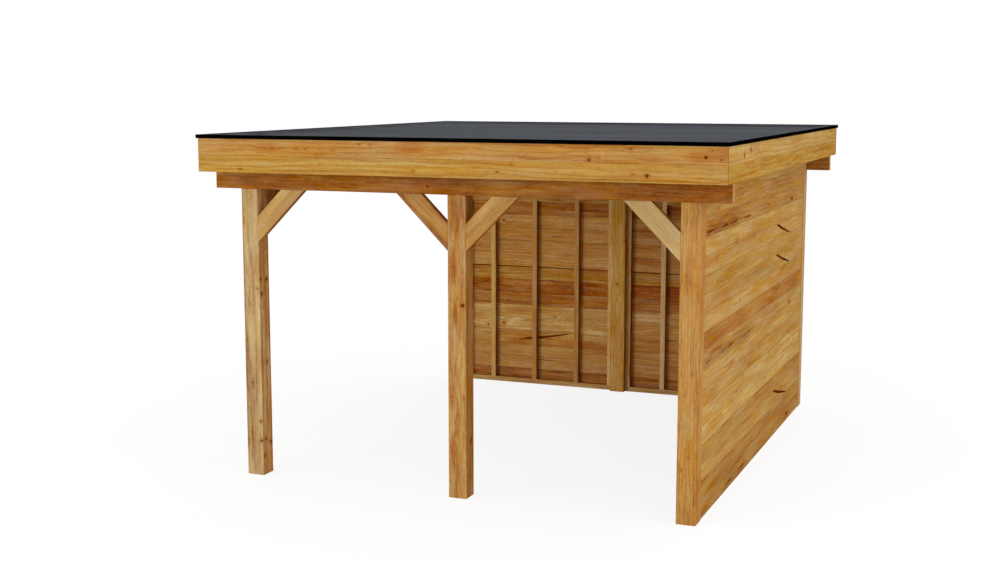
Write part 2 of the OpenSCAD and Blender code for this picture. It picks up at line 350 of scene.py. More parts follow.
def douglas_fir(name, grain, contrast=0.7, ring_mm=18, patchy=0.1, rings=0.8, cloudy=0.3, run=1.0,
                roughness=0.62, knots=(), specks=(), blotches=(), dashes=(), smudges=()):
    """Oiled Douglas fir with its grain along one direction. rings is how clearly the growth rings
    show, patchy how much the tone varies in large and cloudy how much the colour does, and run
    makes all of the figure longer. The lists name marks known by place, each (x, y, z, radius),
    beside the scattered ones: round knots, oval dark specks, oval orange blotches, and dark dashes
    and soft smudges, drawn out DRAWN_OUT times along the grain."""
    material, tree, output = new_material("douglas_fir_" + name)
    spot = add_node(tree, "TexCoord").outputs["Object"]
    board = add_node(tree, "Attribute", attribute_name="board").outputs["Fac"]
    heart = add_node(tree, "Attribute", attribute_name="heart").outputs["Vector"]
    kind = add_node(tree, "Attribute", attribute_name="kind").outputs["Vector"]
    tone, lean, vivid = add_node(tree, "SeparateXYZ", [kind]).outputs
    from_heart = add_node(tree, "VectorMath", [spot, heart], operation="SUBTRACT")
    turned = add_node(tree, "Mapping", {"Vector": from_heart, "Rotation": GRAIN[grain]})
    place = add_node(tree, "VectorMath", [board, LOG_STEP, turned], operation="MULTIPLY_ADD")

    drawn_out = [DRAWN_OUT if axis == grain else 1 for axis in "xyz"]
    oval = [math.sqrt(factor) for factor in drawn_out]
    core, halo, speck = knots_and_specks(tree, place, spot, oval, knots, specks, blotches)
    late = late_wood(tree, place, turned, halo, ring_mm)

    # The figure, from large patches down to fine fibres
    patch = add_node(tree, "MapRange", [streaks(tree, place, 380 * run, 110, 1.0), 0.35, 0.65], **SMOOTH)
    band = add_node(tree, "MapRange", [streaks(tree, place, 500 * run, 32), 0.3, 0.7], **SMOOTH)
    mottle = streaks(tree, place, 90 * run, 20)
    fleck = streaks(tree, place, 26, 12, 1.0)
    fibre = streaks(tree, place, 160 * run, 9, 1.5)
    thread = add_node(tree, "MapRange", [streaks(tree, place, 360 * run, 13), 0.56, 0.72], **SMOOTH)
    dash = add_node(tree, "MapRange", [streaks(tree, place, 60 * run, 9, 1.0), 0.6, 0.76], **SMOOTH)
    tone = moved(tree, tone, [(patch, 0.5, patchy)])
    tone = moved(tree, tone, [(effect, middle, share * contrast) for effect, middle, share in (
        (band, 0.5, 0.14), (late, 0.3, 0.16 * rings), (mottle, 0.5, 0.3), (fleck, 0.5, 0.3),
        (fibre, 0.5, 0.2), (thread, 0.15, 0.18), (dash, 0.05, 0.2), (halo, 0.0, 0.1))])
    tone = moved(tree, tone, [(speck, 0.0, 0.34)])
    for marks, soft, share in ((dashes, 0.005, 0.28), (smudges, 0.045, 0.2)):
        if marks:
            edge = nearest(tree, 1.0, spot, marks, drawn_out)
            ragged = add_node(tree, "Math", [fibre, -4 * soft, edge], operation="MULTIPLY_ADD")
            dark = add_node(tree, "MapRange", [ragged, -3 * soft, -soft, share, 0.0], **SMOOTH)
            tone = add_node(tree, "Math", [dark, tone], operation="ADD")
    colour = add_node(tree, "ValToRGB", [tone], WOOD_TONES)

    # Some stretches lean to orange and others to green gold, and the greyer ones are greener too
    drift = streaks(tree, place, 480 * run, 60, 1.0)
    bloom = streaks(tree, place, 260 * run, 44)
    lean = moved(tree, lean, [(drift, 0.5, 6.0 * cloudy), (bloom, 0.5, -5.0 * cloudy)])
    hue = add_node(tree, "Math", [lean, 0.01, 0.5], operation="MULTIPLY_ADD")
    vivid = moved(tree, vivid, [(bloom, 0.5, cloudy)])
    colour = add_node(tree, "HueSaturation", {"Color": colour, "Hue": hue, "Saturation": vivid})
    for amount, share, tint in ((late, 0.25 * rings, "#a5642a"), (halo, 0.5, "#a8602a"),
                                (core, 1.0, "#562908")):
        share = add_node(tree, "Math", [amount, share], operation="MULTIPLY")
        colour = add_node(tree, "Mix", {"Factor": share, "A": colour, "B": linear(tint)},
                          data_type="RGBA")

    relief = add_node(tree, "Math", [fibre, 0.7, late], operation="MULTIPLY_ADD")
    bump = add_node(tree, "Bump", {"Strength": 0.35, "Distance": 0.0006, "Height": relief})
    rough = add_node(tree, "MapRange", [fibre, 0.3, 0.7, roughness - 0.07, roughness + 0.09], **SMOOTH)
    shader = add_node(tree, "BsdfPrincipled", {"Base Color": colour, "Roughness": rough,
                                               "Specular IOR Level": 0.0, "Normal": bump})
    tree.links.new(shader.outputs["BSDF"], output.inputs["Surface"])
    return material


print("wood recipe ready for grain", ", ".join(GRAIN))

# %% [markdown]
# Shaping helpers
# ---------------
# A timber is shaped in edit mode, as by hand. In a script nothing is clicked on, so faces and edges
# are picked by where they are. Everything else is deselected first, because an operator acts on all
# that is selected. When a piece is finished, its place, turn and size go into its mesh.

# %% Selecting and placing
def only(piece):
    """Selects one piece alone and makes it active."""
    bpy.ops.object.select_all(action="DESELECT")
    piece.select_set(True)
    bpy.context.view_layer.objects.active = piece
    return piece


def pick(piece, faces=None, edges=None):
    """In edit mode, selects faces by test(centre, normal), or edges by test(one end, other end)."""
    bpy.ops.mesh.select_mode(type="FACE" if faces else "EDGE")
    bpy.ops.mesh.select_all(action="DESELECT")
    shape = bmesh.from_edit_mesh(piece.data)
    for face in shape.faces if faces else ():
        face.select_set(bool(faces(face.calc_center_median(), face.normal)))
    for edge in shape.edges if edges else ():
        edge.select_set(bool(edges(*(v.co for v in edge.verts))))
    bmesh.update_edit_mesh(piece.data)


def settle(piece):
    """Puts the piece's place, turn and size into its mesh."""
    only(piece)
    bpy.ops.object.transform_apply(location=True, rotation=True, scale=True)
    return piece


def twin_of(piece):
    """A copy of a piece, with a mesh of its own."""
    only(piece)
    bpy.ops.object.duplicate(linked=False)
    return bpy.context.object


def join(name, parts):
    """Joins several parts into one named piece."""
    only(parts[0])
    for part in parts:
        part.select_set(True)
    bpy.ops.object.join()
    piece = bpy.context.object
    piece.name = name
    piece.data.name = name
    return piece


print("helpers ready")

# %% [markdown]
# Marking boards
# --------------
# No two boards are cut from the same place in a log. Each board's faces carry what the wood
# material reads: board, a number that moves it along the log; kind, the tone, lean and vividness
# of its wood; and heart, a point on the log's heart, some centimetres beside the board. Each board
# could have a material of its own instead, but that makes over a hundred materials, and what is
# kept on the mesh stays with it, whichever pieces are joined later.

# %% Marking boards
HEART_NEAR, HEART_FAR = 0.03, 0.11
TONE_SPREAD = 0.03
SEED = 7
dice = random.Random(SEED)


def mark(piece, wood):
    """Gives a board its place in the log and its kind of wood."""
    faces = len(piece.data.polygons)
    corners = [Vector(corner) for corner in piece.bound_box]
    middle = (corners[0] + corners[6]) / 2
    heart = middle + Vector(dice.choice((-1, 1)) * dice.uniform(HEART_NEAR, HEART_FAR)
                            for _ in range(3))
    tone, lean, vivid = wood
    number = piece.data.attributes.new("board", "FLOAT", "FACE")
    number.data.foreach_set("value", [dice.random()] * faces)
    own_tone = tone + dice.uniform(-TONE_SPREAD, TONE_SPREAD)
    for name, vector in (("kind", (own_tone, lean, vivid)), ("heart", heart)):
        attribute = piece.data.attributes.new(name, "FLOAT_VECTOR", "FACE")
        attribute.data.foreach_set("vector", list(vector) * faces)
    return piece


def stain(piece, wood, chosen):
    """Makes the faces for which chosen(centre, normal) holds of another kind of wood."""
    kinds = piece.data.attributes["kind"].data
    for face in piece.data.polygons:
        if chosen(face.center, face.normal):
            kinds[face.index].vector = wood
    return piece


def finish(piece, slot, material, *nodes):
    """Gives a piece its material, fixes it to the building and puts it in the place of CAD nodes."""
    if material.name not in piece.data.materials:
        piece.data.materials.clear()
        piece.data.materials.append(material)
    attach(piece, "root")
    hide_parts(*nodes)
    print(piece.name, "-", len(piece.data.polygons), "faces, replaces", ", ".join(nodes))
    return piece


print("first draw of the dice would be", round(random.Random(SEED).random(), 3))

# %% [markdown]
# Eased timber
# ------------
# Planed timber never leaves the mill with knife edges: its arrises are eased by two or three
# millimetres, which keeps them from splintering and lets them catch a thread of light. The frame's
# timbers already have their true shape, with their seats and mitres, so new boxes would only lose
# it. Each is copied instead, its loose triangles are merged and cleaned into flat faces, and all
# its edges are bevelled.

# %% Eased timber
EASE = 0.003
MERGE_WITHIN = 0.00002
FLAT_WITHIN = math.radians(1)


def eased(name, node, woods, ease=EASE, end_axis=None, end_wood=None):
    """A copy of a node's timbers with eased edges. woods go to its timbers in turn, and the faces
    that look along end_axis can be of another kind."""
    piece = bpy.data.objects.new(name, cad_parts[node].data.copy())
    bpy.context.scene.collection.objects.link(piece)
    piece.data.materials.clear()
    only(piece)
    bpy.ops.object.mode_set(mode="EDIT")
    bpy.ops.mesh.select_all(action="SELECT")
    bpy.ops.mesh.remove_doubles(threshold=MERGE_WITHIN)
    bpy.ops.mesh.dissolve_limited(angle_limit=FLAT_WITHIN)
    bpy.ops.mesh.select_mode(type="EDGE")
    bpy.ops.mesh.select_all(action="SELECT")
    bpy.ops.mesh.bevel(offset=ease, segments=2, affect="EDGES")
    bpy.ops.mesh.separate(type="LOOSE")
    bpy.ops.object.mode_set(mode="OBJECT")
    timbers = sorted(bpy.context.selected_objects, key=lambda t: tuple(t.bound_box[0]))
    for number, timber in enumerate(timbers):
        mark(timber, woods[number % len(woods)])
        if end_axis is not None:
            stain(timber, end_wood, lambda centre, normal: abs(normal[end_axis]) > 0.98)
    return join(name, timbers)


def on_face(axis, place, spots):
    """Marks on a flat face that lies at a place on the x or the y axis. Each spot is the mark's place
    along the face, its height and its radius."""
    return [(place, along, z, radius) if axis == "x" else (along, place, z, radius)
            for along, z, radius in spots]


print("planed edges are eased by", 1000 * EASE, "mm")

# %% [markdown]
# Posts
# -----
# Six posts of 120 mm square timber. Each was sawn near the heart of a tree, so its grain runs
# straight up it and small knots show on every face. One recipe would make them all alike, so each
# front post has a material of its own, with its own knots and stains. The left one has the greyest
# face and the palest side, and its left edge is darker.

# %% Knots of the posts
POST_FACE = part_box("post_front_left")[0].y
LEFT_CHEEK, MID_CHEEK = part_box("post_front_left")[1].x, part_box("post_front_mid")[1].x
BACK_POST_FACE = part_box("post_back_mid")[0].y
LEFT_KNOTS = on_face("y", POST_FACE, (
    (-1.414, 0.365, 0.007), (-1.411, 0.235, 0.009), (-1.415, 1.25, 0.005), (-1.465, 0.622, 0.003)))
LEFT_KNOTS += on_face("x", LEFT_CHEEK, (
    (-1.714, 1.31, 0.008), (-1.643, 1.303, 0.01), (-1.708, 1.212, 0.01), (-1.66, 0.753, 0.01),
    (-1.692, 0.24, 0.011), (-1.634, 0.21, 0.011), (-1.708, 0.127, 0.009)))
LEFT_SMUDGES = on_face("y", POST_FACE, [(-1.512, z, 0.014) for z in (0.25, 0.9, 1.55)])
MID_KNOTS = on_face("y", POST_FACE, (
    (0.039, 1.222, 0.014), (-0.031, 0.645, 0.005), (-0.022, 1.46, 0.006), (-0.03, 0.3, 0.004)))
MID_KNOTS += on_face("x", MID_CHEEK, ((-1.657, 0.352, 0.012), (-1.645, 0.368, 0.009)))
MID_BLOTCHES = on_face("y", POST_FACE, (
    (-0.022, 1.46, 0.016), (-0.035, 0.65, 0.008), (-0.03, 0.3, 0.018)))
# The first of these is painted shade at the top of the mid post, where the beam and the brace shade it;
# the second darkens its foot.
MID_SMUDGES_AND_SHADE = on_face("y", POST_FACE, ((0.0, 1.8, 0.06), (0.0, 0.15, 0.05)))
RIGHT_KNOTS = on_face("y", POST_FACE, ((1.48, 0.901, 0.003), (1.427, 0.331, 0.004)))
RIGHT_BLOTCHES = on_face("y", POST_FACE, ((1.46, 1.558, 0.008), (1.447, 1.44, 0.006)))
BACK_MID_KNOTS = on_face("y", BACK_POST_FACE, ((-0.007, 0.918, 0.008),))
print("knots listed:", len(LEFT_KNOTS + MID_KNOTS + RIGHT_KNOTS + BACK_MID_KNOTS))

# %% Posts
left_post = douglas_fir("post_left", "z", 1.0, 40, 0.2, cloudy=0.35,
                        knots=LEFT_KNOTS, smudges=LEFT_SMUDGES)
mid_post = douglas_fir("post_mid", "z", 0.85, 24, 0.12, 0.6, cloudy=0.35,
                       knots=MID_KNOTS, blotches=MID_BLOTCHES, smudges=MID_SMUDGES_AND_SHADE)
right_post = douglas_fir("post_right", "z", 0.85, 20, 0.12, 0.7,
                         knots=RIGHT_KNOTS, blotches=RIGHT_BLOTCHES)
back_post = douglas_fir("post_back", "z", 0.8, 20, cloudy=0.4, knots=BACK_MID_KNOTS)
for node, material, wood, cheek in (
        ("post_front_left", left_post, (0.4, 1.5, 0.78), (0.14, -1.7, 1.02)),
        ("post_front_mid", mid_post, (0.34, 0.3, 0.92), (0.46, -0.5, 0.98)),
        ("post_front_right", right_post, (0.43, -0.1, 0.97), ROSE),
        ("post_back_left", back_post, AMBER, AMBER),
        ("post_back_mid", back_post, (0.18, -0.6, 1.05), HONEY),
        ("post_back_right", back_post, AMBER, (0.32, 0.0, 0.78))):
    # The faces that look to the left and right are another wood than the front and back
    slot = "post_back" if "back" in node else node
    post = eased(node + "_timber", node, [wood], end_axis=0, end_wood=cheek)
    finish(post, slot, material, node)

# %% [markdown]
# Beams
# -----
# The long beams are 60 mm thick and lie in the seats of the posts, and the side beams run between
# the posts' tongues. They sit in the shade of the roof, and their wood is a darker amber. Their
# sawn ends show beyond the posts, and the end faces are stained a paler amber as painted light,
# where the ends catch more light than the shaded fronts.

# %% Beams
BEAM_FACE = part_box("beam_front")[0].y
BEAM_KNOTS = on_face("y", BEAM_FACE, ((-0.185, 1.948, 0.009), (1.5, 1.972, 0.004)))
BEAM_BLOTCHES = on_face("y", BEAM_FACE, ((-0.18, 1.945, 0.02), (-0.2, 1.97, 0.01)))
long_beam = douglas_fir("beam_long", "x", 0.65, patchy=0.1, cloudy=0.3,
                        knots=BEAM_KNOTS, blotches=BEAM_BLOTCHES)
side_beam = douglas_fir("beam_side", "y")
for node, wood in (("beam_front", (0.68, -0.2, 0.98)), ("beam_back", UMBER)):
    # The paler wood of the end faces is painted light.
    beam = eased(node + "_timber", node, [wood], end_axis=0, end_wood=(0.41, 0.3, 0.92))
    finish(beam, "beam_long", long_beam, node)
for node in ("beam_left", "beam_right"):
    finish(eased(node + "_timber", node, [RUSSET]), "beam_side", side_beam, node)

# %% [markdown]
# Knee braces
# -----------
# Short boards cut at 45 degrees between a post and a beam. Their grain runs along the slope, so
# each direction of slope has a material of its own, and each brace came from another board. Their
# sawn edges are a redder brown than their planed faces.

# %% Knee braces
brace_rising = douglas_fir("brace_rising", "rising_x", 0.6, 22, 0.25, 0.4)
brace_falling = douglas_fir("brace_falling", "falling_x", 0.6, 22, 0.25, 0.4)
side_rising = douglas_fir("brace_side_rising", "rising_y")
side_falling = douglas_fir("brace_side_falling", "falling_y")
for node, material, wood in (
        ("brace_front_left", brace_rising, SAND), ("brace_mid_left", brace_falling, BARK),
        ("brace_mid_right", brace_rising, TAN), ("brace_front_right", brace_falling, CREAM),
        ("brace_side_front", side_rising, UMBER), ("brace_side_back", side_falling, AMBER)):
    brace = eased(node + "_timber", node, [wood])
    across = 0 if "side" in node else 1
    stain(brace, RUSSET, lambda centre, normal: abs(normal[across]) < 0.5)
    finish(brace, "brace", material, node)

# %% [markdown]
# Fascia
# ------
# Two planed boards, one above the other, close the roof's edge on all four sides. The front and
# back boards cover the ends of the side boards, so a fine joint shows at each corner. One board of
# double height would be simpler, but the eased edges where two meet draw the line that shows. The
# lower front board has long calm lines, and the upper one has most of the knots.

# %% Knots of the fascia
FASCIA_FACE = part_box("fascia_front_upper")[0].y
RIGHT_FASCIA_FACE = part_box("fascia_right_upper")[1].x
UPPER_KNOTS = on_face("y", FASCIA_FACE, (
    (-1.165, 2.173, 0.006), (-0.994, 2.176, 0.003), (-0.931, 2.171, 0.003), (-0.736, 2.168, 0.003),
    (-0.482, 2.202, 0.004), (0.91, 2.139, 0.009), (1.154, 2.205, 0.006), (1.586, 2.165, 0.012),
    (1.621, 2.201, 0.004), (1.673, 2.153, 0.007)))
UPPER_BLOTCHES = on_face("y", FASCIA_FACE, (
    (-1.2, 2.175, 0.02), (-0.208, 2.205, 0.018), (-0.208, 2.18, 0.014), (0.845, 2.22, 0.02),
    (1.585, 2.168, 0.022), (1.675, 2.155, 0.014), (1.69, 2.2, 0.014), (1.3, 2.145, 0.006)))
LOWER_KNOTS = on_face("y", FASCIA_FACE, (
    (-1.401, 2.038, 0.007), (-0.196, 2.052, 0.004), (0.346, 2.058, 0.006), (1.252, 2.056, 0.012),
    (1.17, 2.065, 0.003), (0.434, 2.1, 0.003)))
END_KNOTS = on_face("x", RIGHT_FASCIA_FACE, ((-1.511, 2.163, 0.012), (-1.335, 2.184, 0.015)))
print("knots listed:", len(UPPER_KNOTS + LOWER_KNOTS + END_KNOTS))

# %% Fascia
fascia_woods = {
    "front_upper": douglas_fir("fascia_upper", "x", 0.75, 30, cloudy=0.35, run=1.5,
                               knots=UPPER_KNOTS, blotches=UPPER_BLOTCHES),
    "front_lower": douglas_fir("fascia_lower", "x", 0.75, 32, rings=0.9, cloudy=0.3,
                               run=2.5, knots=LOWER_KNOTS),
    "x": douglas_fir("fascia_back", "x", 0.7, 27, run=1.5),
    "y": douglas_fir("fascia_side", "y", 0.7, 24, cloudy=0.25, run=1.5,
                     knots=END_KNOTS),
}
LOWER_FRONT, UPPER_FRONT = (0.45, 1.0, 0.96), (0.46, 0.2, 0.94)
for side, lower, upper in (("front", LOWER_FRONT, UPPER_FRONT), ("back", GOLD, AMBER),
                           ("left", GOLD, FLAX), ("right", GOLD, FLAX)):
    for course, wood in (("lower", lower), ("upper", upper)):
        place = f"{side}_{course}"
        along = 0 if side in ("front", "back") else 1
        # The end faces are a deep brown: end grain darkens under oil, and the dark ends are also painted
        # shade for the joint at each corner.
        board = eased(f"fascia_{place}_board", "fascia_" + place, [wood], 0.0025, end_axis=along,
                      end_wood=DEEP)
        material = fascia_woods.get(place) or fascia_woods["xy"[along]]
        finish(board, "fascia_" + course, material, "fascia_" + place)

# %% [markdown]
# Joists, studs, rails and battens
# --------------------------------
# The sawn timbers behind the finished faces: nine joists, the studs and rails of the three wall
# bays, and the battens under the roof's rim. They are left as they come from the saw, so their
# faces are a little rougher than planed ones. Each row of them is one piece, and the woods listed
# for it go to its timbers in order, from left to right, or from front to back in the side wall.

# %% Sawn timbers
joist_wood = douglas_fir("joist", "y", roughness=0.72)
upright_wood = douglas_fir("stud", "z", roughness=0.72)
rail_wood_x = douglas_fir("rail_back", "x", roughness=0.72)
rail_wood_y = douglas_fir("rail_side", "y", roughness=0.72)
finish(eased("joists_timber", "joists", [GOLD, AMBER, HONEY, GOLD]), "joist", joist_wood, "joists")
STUD_WOODS = {
    "back_left": [AMBER, STRAW, ROSE, ROSE, (0.14, -0.4, 1.0)],
    "back_right": [(0.1, -1.4, 1.04), PALE, (0.0, -1.4, 1.05), AMBER, AMBER],
    "side": [AMBER, GOLD, AMBER],
}
for bay, woods in STUD_WOODS.items():
    long_wall = bay != "side"
    # Their side faces are stained UMBER as painted shade, for the shade that lies beside each stud.
    studs = eased(f"studs_{bay}_timber", f"studs_{bay}", woods, 0.002,
                  end_axis=0 if long_wall else 1, end_wood=UMBER)
    finish(studs, "stud", upright_wood, f"studs_{bay}")
    # The faces that look up and down are stained UMBER as painted shade above and under each rail.
    rails = eased(f"rails_{bay}_timber", f"rails_{bay}", [SAND] + 12 * [AMBER], 0.002,
                  end_axis=2, end_wood=UMBER)
    finish(rails, "rail", rail_wood_x if long_wall else rail_wood_y, f"rails_{bay}")
finish(eased("kerb_front_back_batten", "kerb_front_back", [AMBER], 0.001), "kerb", rail_wood_x,
       "kerb_front_back")
finish(eased("kerb_sides_batten", "kerb_sides", [AMBER], 0.001), "kerb", rail_wood_y, "kerb_sides")

# %% [markdown]
# A tongued board
# ---------------
# Cladding and roof deck are tongued and grooved boards. Each board has a tongue along its upper
# edge that enters the groove of the next, so the joint stays closed while the wood moves. The
# arrises beside the joint are chamfered, which draws the fine line between boards.
# The board could be a plain box with a line painted on it, but then nothing shows at its ends and
# the joints catch no shadow. So one board is modelled in full and then copied.

# %% A tongued board
COVER, FOOT = 0.112, 0.008
JOINT = 0.0004
TONGUE_H, TONGUE_T = 0.008, 0.008


def tongued_board(length, thick, chamfer, inner_chamfer):
    """A board along X, centred on x = 0, its lower edge at z = 0 and its good face at y = 0,
    facing -Y."""
    height = COVER - JOINT
    bpy.ops.object.select_all(action="DESELECT")
    bpy.ops.mesh.primitive_cube_add(size=1, location=(0, thick / 2, height / 2),
                                    scale=(length, thick, height))
    board = settle(bpy.context.object)
    bpy.ops.object.mode_set(mode="EDIT")
    for side, cut in ((0, chamfer), (thick, inner_chamfer)):
        pick(board, edges=lambda a, b: abs(a.y - side) < 1e-5 and abs(b.y - side) < 1e-5
             and abs(a.x - b.x) > length / 2)
        bpy.ops.mesh.bevel(offset=cut, segments=1, affect="EDGES")
    for top in (True, False):
        pick(board, faces=lambda c, n: n.z > 0.9 if top else n.z < -0.9)
        bpy.ops.mesh.extrude_region_move(TRANSFORM_OT_translate={"value": (0, 0, 0)})
        bpy.ops.transform.resize(value=(1, TONGUE_T / (thick - chamfer - inner_chamfer), 1))
        bpy.ops.mesh.extrude_region_move(TRANSFORM_OT_translate={"value": (0, 0, TONGUE_H)})
    bpy.ops.object.mode_set(mode="OBJECT")
    return board


sample = tongued_board(1.0, 0.028, 0.003, 0.0015)
print("a board of", len(sample.data.polygons), "faces,", COVER * 1000, "mm cover")
bpy.data.objects.remove(sample)

# %% [markdown]
# Splits
# ------
# A board that dries too fast opens along its grain, and the weather blackens the wood in the gap.
# A dark line on the face would do from afar, but a real gap also catches the light on its edges. So
# a body of the gap's form is cut out of the board, and the cut keeps that body's dark wood.

# %% Splits
SPLIT_WIDTH, SPLIT_DEPTH, SPLIT_WAVE, BLUNT_SHARE = 0.021, 0.006, -0.15, 0.25
SCORCHED = (0.92, -0.4, 1.2)


def split(board, start, end, normal):
    """Opens a long split in the face of a board that looks along normal. It is blunt at its start
    and tapers to its end, and its middle waves a little. A wedge of that form is cut out of the
    board, and its dark wood stays on the cut."""
    run = (end - start).normalized()
    frame_axes = Matrix((run, normal.cross(run), normal)).transposed()
    bpy.ops.object.select_all(action="DESELECT")
    bpy.ops.mesh.primitive_circle_add(vertices=20, radius=0.5, fill_type="NGON")
    wedge = bpy.context.object
    bpy.ops.object.mode_set(mode="EDIT")
    for side, stretch in ((-1, 2 * BLUNT_SHARE), (1, 2 - 2 * BLUNT_SHARE)):
        pick(wedge, edges=lambda a, b: 0.15 < (a.x + b.x) * side / 2 < 0.42)
        bpy.ops.transform.translate(value=(0, side * SPLIT_WAVE, 0))
        pick(wedge, edges=lambda a, b: (a.x + b.x) * side > 0)
        bpy.ops.transform.resize(value=(stretch, 1, 1), center_override=(0, 0, 0))
    bpy.ops.mesh.select_all(action="SELECT")
    bpy.ops.mesh.extrude_region_move(TRANSFORM_OT_translate={"value": (0, 0, 2)})
    bpy.ops.mesh.select_all(action="SELECT")
    bpy.ops.mesh.normals_make_consistent(inside=False)
    bpy.ops.object.mode_set(mode="OBJECT")
    wedge.scale = ((end - start).length, SPLIT_WIDTH, SPLIT_DEPTH)
    wedge.rotation_euler = frame_axes.to_euler()
    wedge.location = start + (end - start) * BLUNT_SHARE - normal * SPLIT_DEPTH
    settle(wedge)
    mark(wedge, SCORCHED)
    only(board)
    cut = board.modifiers.new("split", "BOOLEAN")
    cut.operation = "DIFFERENCE"
    cut.object = wedge
    bpy.ops.object.modifier_apply(modifier=cut.name)
    bpy.data.objects.remove(wedge)


print("splits are", 1000 * SPLIT_WIDTH, "mm wide and", 1000 * SPLIT_DEPTH, "mm deep")

# %% [markdown]
# Wall cladding
# -------------
# The boards of a bay are stacked from the ground up. The first keeps its full width of 120 mm, as
# nothing laps its lower edge, and the last one is ripped to fit under the beam. Boards shrink, so
# a joint can stand open. Its edges are darkened, as weathered wood and as painted shade in the
# gap, where the tongue would otherwise catch the light.

# %% Filling a bay
CHAMFER, INNER_CHAMFER = 0.002, 0.003
OPEN_JOINT = 0.0065
WEATHERED_AND_SHADED = (1.1, 0.0, 1.0)


def clad(name, node, woods, material, turn, splits=None, open_joint=None):
    """Fills a bay with boards. turn is the angle about Z from a wall that faces -Y. splits gives
    the start, end and normal of each split by its board's number, and the joint on top of the
    board numbered open_joint stands open."""
    low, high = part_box(node)
    size = high - low
    length, thick = max(size.x, size.y), min(size.x, size.y)
    model = tongued_board(length, thick, CHAMFER, INNER_CHAMFER)
    outward = Vector((math.sin(turn), -math.cos(turn), 0))
    middle = (low + high) / 2 + outward * thick / 2
    boards = []
    for number in range(math.ceil((size.z - FOOT) / COVER)):
        board = twin_of(model)
        board.rotation_euler.z = turn
        board.location = (middle.x, middle.y, low.z + FOOT + number * COVER)
        settle(board)
        top = low.z + FOOT + (number + 1) * COVER
        bpy.ops.object.mode_set(mode="EDIT")
        if number == 0:
            pick(board, faces=lambda c, n: c.z < low.z + FOOT + TONGUE_H + 0.001 and n.z < 0.5)
            bpy.ops.transform.translate(value=(0, 0, -FOOT))
        if number == open_joint:
            pick(board, faces=lambda c, n: c.z > top - 2 * CHAMFER)
            bpy.ops.transform.translate(value=(0, 0, -OPEN_JOINT))
        bpy.ops.mesh.select_all(action="SELECT")
        bpy.ops.mesh.bisect(plane_co=high, plane_no=(0, 0, 1), use_fill=True, clear_outer=True)
        bpy.ops.object.mode_set(mode="OBJECT")
        mark(board, woods[number])
        if number == open_joint:
            # The open joint's edges are darkened as weathered wood and as painted shade in the gap.
            stain(board, WEATHERED_AND_SHADED, lambda centre, normal: centre.z > top - 2.5 * CHAMFER)
        if splits and number in splits:
            split(board, *(Vector(part) for part in splits[number]))
        boards.append(board)
    bpy.data.objects.remove(model)
    return finish(join(name, boards), "cladding", material, node)


print("a board is added every", 1000 * COVER, "mm")

# %% [markdown]
# The three bays
# --------------
# Softwood cladding is never even. Its knots, splits and stains could be left to chance, but a wall
# is known by the ones that stand out, so those are listed. The woods name each board of a bay, from
# the bottom to the top, and both back bays take the same list, with the right one a little redder.

# %% Marks on the cladding
SIDE_FACE, BACK_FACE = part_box("cladding_side")[1].x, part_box("cladding_back_left")[0].y
SIDE_DASHES = on_face("x", SIDE_FACE, [(y, z, radius) for z in (1.714, 0.936, 0.04) for y, radius in (
    (-1.5, 0.006), (-1.09, 0.005), (-0.85, 0.007), (-0.43, 0.009))])
SIDE_SMUDGES = on_face("x", SIDE_FACE, [(-1.0, z, 0.045) for z in (1.72, 0.945)])
SIDE_KNOTS = on_face("x", SIDE_FACE, [(y, z, 0.007) for y, z in (
    (-1.3, 1.52), (0.35, 1.15), (-1.28, 1.39), (-0.65, 1.19), (1.16, 0.62), (-0.8, 0.556),
    (-1.285, 1.834))])
SIDE_SPECKS = on_face("x", SIDE_FACE, (
    (1.12, 1.715, 0.015), (1.12, 0.93, 0.015), (1.13, 0.05, 0.015), (1.34, 0.6, 0.007),
    (0.36, 0.67, 0.007), (0.65, 0.48, 0.006), (-0.02, 0.49, 0.007), (-0.68, 0.59, 0.007),
    (-0.09, 0.65, 0.007), (-1.11, 0.54, 0.007), (0.24, 1.74, 0.006), (1.5, 1.73, 0.007),
    (1.18, 1.178, 0.006)))
SIDE_BLOTCHES = on_face("x", SIDE_FACE, [(y, z, 0.012) for y, z in (
    (-0.77, 1.59), (-0.25, 1.565), (-0.3, 0.705), (-0.86, 0.81), (0.05, 0.767))])
BACK_KNOTS = on_face("y", BACK_FACE, (
    (-1.206, 0.489, 0.008), (-1.06, 0.511, 0.01), (-0.587, 0.589, 0.007), (-1.06, 1.41, 0.01)))
BACK_BLOTCHES = on_face("y", BACK_FACE, [(x, z, 0.022) for x, z in (
    (-0.938, 0.621), (-0.92, 0.36), (-0.286, 0.357), (-0.178, 0.347), (-0.25, 1.01),
    (0.216, 1.104))])
SIDE_SPLITS = {
    13: ((SIDE_FACE, 0.545, 1.566), (SIDE_FACE, 1.07, 1.468), (1, 0, 0)),
    11: ((SIDE_FACE, 0.55, 1.345), (SIDE_FACE, 1.08, 1.245), (1, 0, 0)),
    2: ((SIDE_FACE, 0.555, 0.34), (SIDE_FACE, 1.09, 0.236), (1, 0, 0)),
}
BACK_SPLITS = {3: ((-0.92, BACK_FACE, 0.37), (-0.45, BACK_FACE, 0.452), (0, -1, 0))}
print("splits listed:", len(SIDE_SPLITS) + len(BACK_SPLITS))

